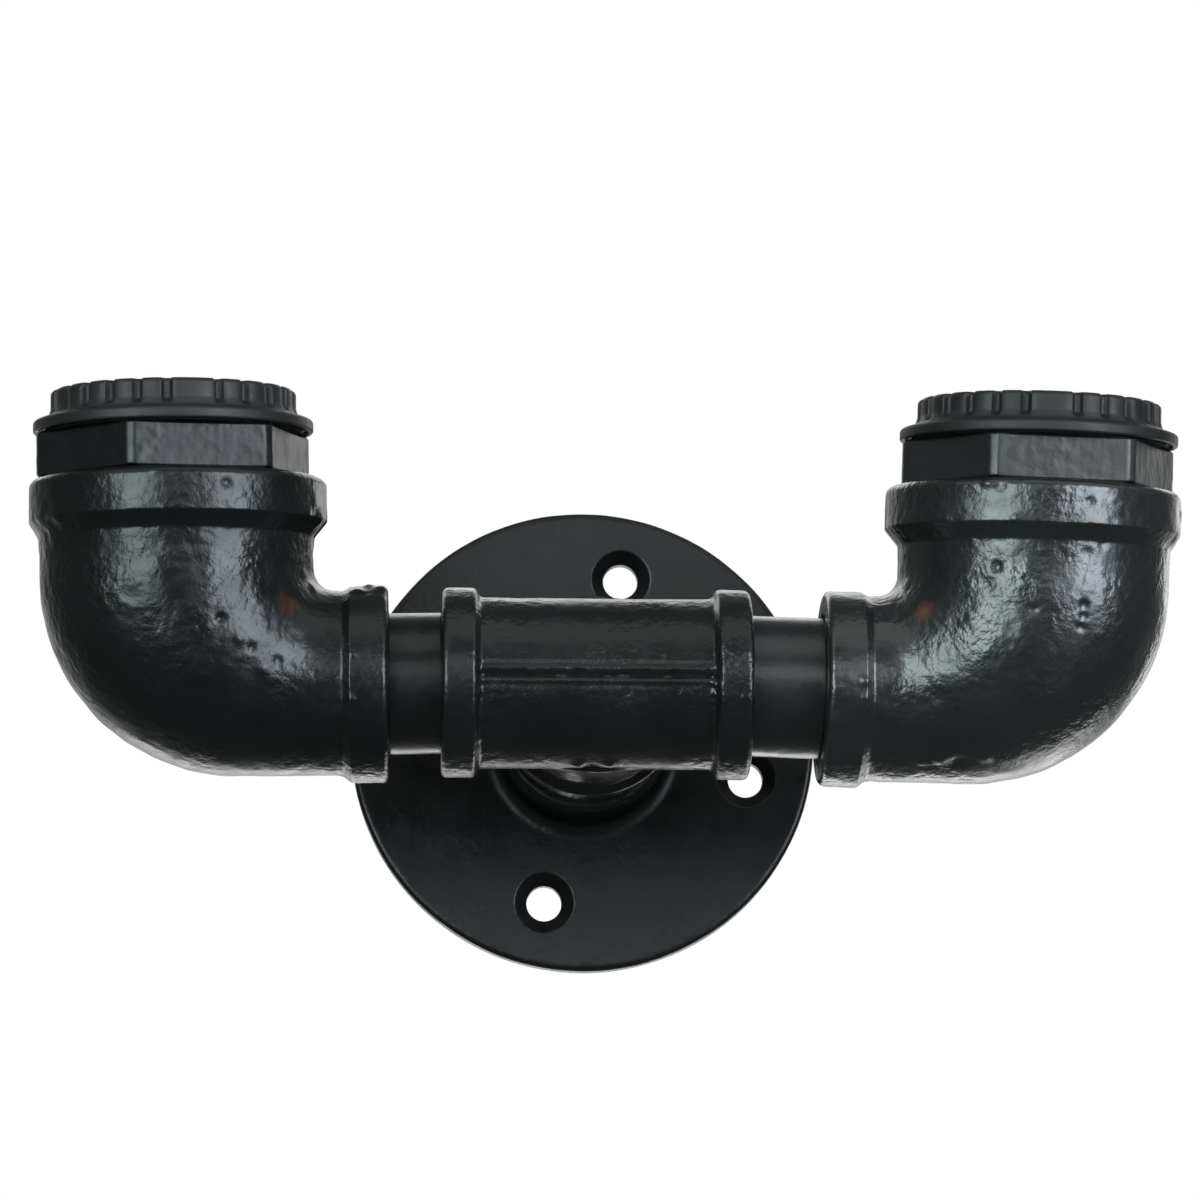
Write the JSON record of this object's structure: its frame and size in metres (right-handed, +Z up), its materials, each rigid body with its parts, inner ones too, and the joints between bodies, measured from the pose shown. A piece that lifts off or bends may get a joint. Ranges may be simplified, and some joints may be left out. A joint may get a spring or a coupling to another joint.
{
  "type": "industrial pipe wall light",
  "caption": "Black pipe-fitting wall light: a round wall flange carries a tee whose side elbows turn up to end in hex bushings with screw lampholders and fluted shade rings.",
  "frame": {"origin": "centre of the wall flange's back face, on the wall", "axes": "+X to the right as seen from the room, along the two arms; +Y into the wall; +Z up, the way the lampholders face"},
  "size_m": [0.2201, 0.1067, 0.1051],
  "materials": {
    "cast": "satin black paint over cast iron",
    "pipe": "satin black paint",
    "ring_plastic": "matt dark grey",
    "holder_plastic": "black",
    "contact_insulator": "off-white ceramic-like",
    "shell_metal": "nickelled brass",
    "brass": "bare",
    "zinc_steel": "zinc plated",
    "gasket_rubber": "black",
    "live_wire": "brown insulation",
    "neutral_wire": "blue insulation",
    "block_plastic": "natural"
  },
  "bodies": {
    "wall_mount": {"wall_flange": "cast", "centre_nipple": "pipe", "terminal_block": "block_plastic", "terminal_clamps": "brass", "terminal_block_screws": "zinc_steel", "block_live_leads": "live_wire", "block_neutral_leads": "neutral_wire", "earth_screw": "zinc_steel", "earth_lug": "zinc_steel"},
    "tee_body": {"tee": "cast", "left_nipple": "pipe", "right_nipple": "pipe", "left_tee_live_lead": "live_wire", "left_tee_neutral_lead": "neutral_wire", "right_tee_live_lead": "live_wire", "right_tee_neutral_lead": "neutral_wire"},
    "left_arm": {"left_elbow": "cast", "left_hex_bushing": "cast", "left_lampholder_body": "holder_plastic", "left_contact_base": "contact_insulator", "left_lampholder_end_cap": "holder_plastic", "left_screw_shell": "shell_metal", "left_contact_pad": "brass", "left_terminals": "brass", "left_contact_rivets": "brass", "left_terminal_screws": "zinc_steel", "left_arm_live_lead": "live_wire", "left_arm_neutral_lead": "neutral_wire"},
    "left_contact": {"left_centre_contact": "brass"},
    "left_ring_carrier": {"left_ring_gasket": "gasket_rubber"},
    "left_ring": {"left_shade_ring": "ring_plastic"},
    "right_arm": {"right_elbow": "cast", "right_hex_bushing": "cast", "right_lampholder_body": "holder_plastic", "right_contact_base": "contact_insulator", "right_lampholder_end_cap": "holder_plastic", "right_screw_shell": "shell_metal", "right_contact_pad": "brass", "right_terminals": "brass", "right_contact_rivets": "brass", "right_terminal_screws": "zinc_steel", "right_arm_live_lead": "live_wire", "right_arm_neutral_lead": "neutral_wire"},
    "right_contact": {"right_centre_contact": "brass"},
    "right_ring_carrier": {"right_ring_gasket": "gasket_rubber"},
    "right_ring": {"right_shade_ring": "ring_plastic"}
  },
  "joints": [
    {"name": "tee_swivel", "type": "hinge", "parent": "wall_mount", "child": "tee_body", "pos_m": [0, -0.0565, 0], "axis": [0, 1, 0], "range_deg": [-90, 90]},
    {"name": "left_arm_turn", "type": "hinge", "parent": "tee_body", "child": "left_arm", "pos_m": [-0.0163, -0.074, 0.00014], "axis": [0.9998, 0, 0.0209], "range_deg": [-96, 84]},
    {"name": "left_contact_flex", "type": "hinge", "parent": "left_arm", "child": "left_contact", "pos_m": [-0.08584, -0.07694, 0.02573], "axis": [-0.0023, 0.9942, 0.108], "range_deg": [0, 9], "stiffness_Nm_per_rad": 0.05},
    {"name": "left_ring_lift", "type": "slide", "parent": "left_arm", "child": "left_ring_carrier", "axis": [-0.0208, -0.108, 0.9939], "range_m": [0, 0.0075]},
    {"name": "left_ring_turn", "type": "hinge", "parent": "left_ring_carrier", "child": "left_ring", "pos_m": [-0.08089, -0.07921, 0.04671], "axis": [-0.0208, -0.108, 0.9939], "range_deg": [0, 1080]},
    {"name": "right_arm_turn", "type": "hinge", "parent": "tee_body", "child": "right_arm", "pos_m": [0.0163, -0.074, 0.00017], "axis": [0.9997, 0, -0.0262], "range_deg": [-96, 84]},
    {"name": "right_contact_flex", "type": "hinge", "parent": "right_arm", "child": "right_contact", "pos_m": [0.08977, -0.07736, 0.02525], "axis": [-0.0032, -0.9923, -0.1236], "range_deg": [0, 9], "stiffness_Nm_per_rad": 0.05},
    {"name": "right_ring_lift", "type": "slide", "parent": "right_arm", "child": "right_ring_carrier", "axis": [0.026, -0.1236, 0.992], "range_m": [0, 0.0075]},
    {"name": "right_ring_turn", "type": "hinge", "parent": "right_ring_carrier", "child": "right_ring", "pos_m": [0.08493, -0.07996, 0.04622], "axis": [0.026, -0.1236, 0.992], "range_deg": [0, 1080]}
  ],
  "couplings": [
    {"joint": "left_ring_turn", "follows": "left_ring_lift", "rad_per_m": 2513.3},
    {"joint": "right_ring_turn", "follows": "right_ring_lift", "rad_per_m": 2513.3}
  ]
}
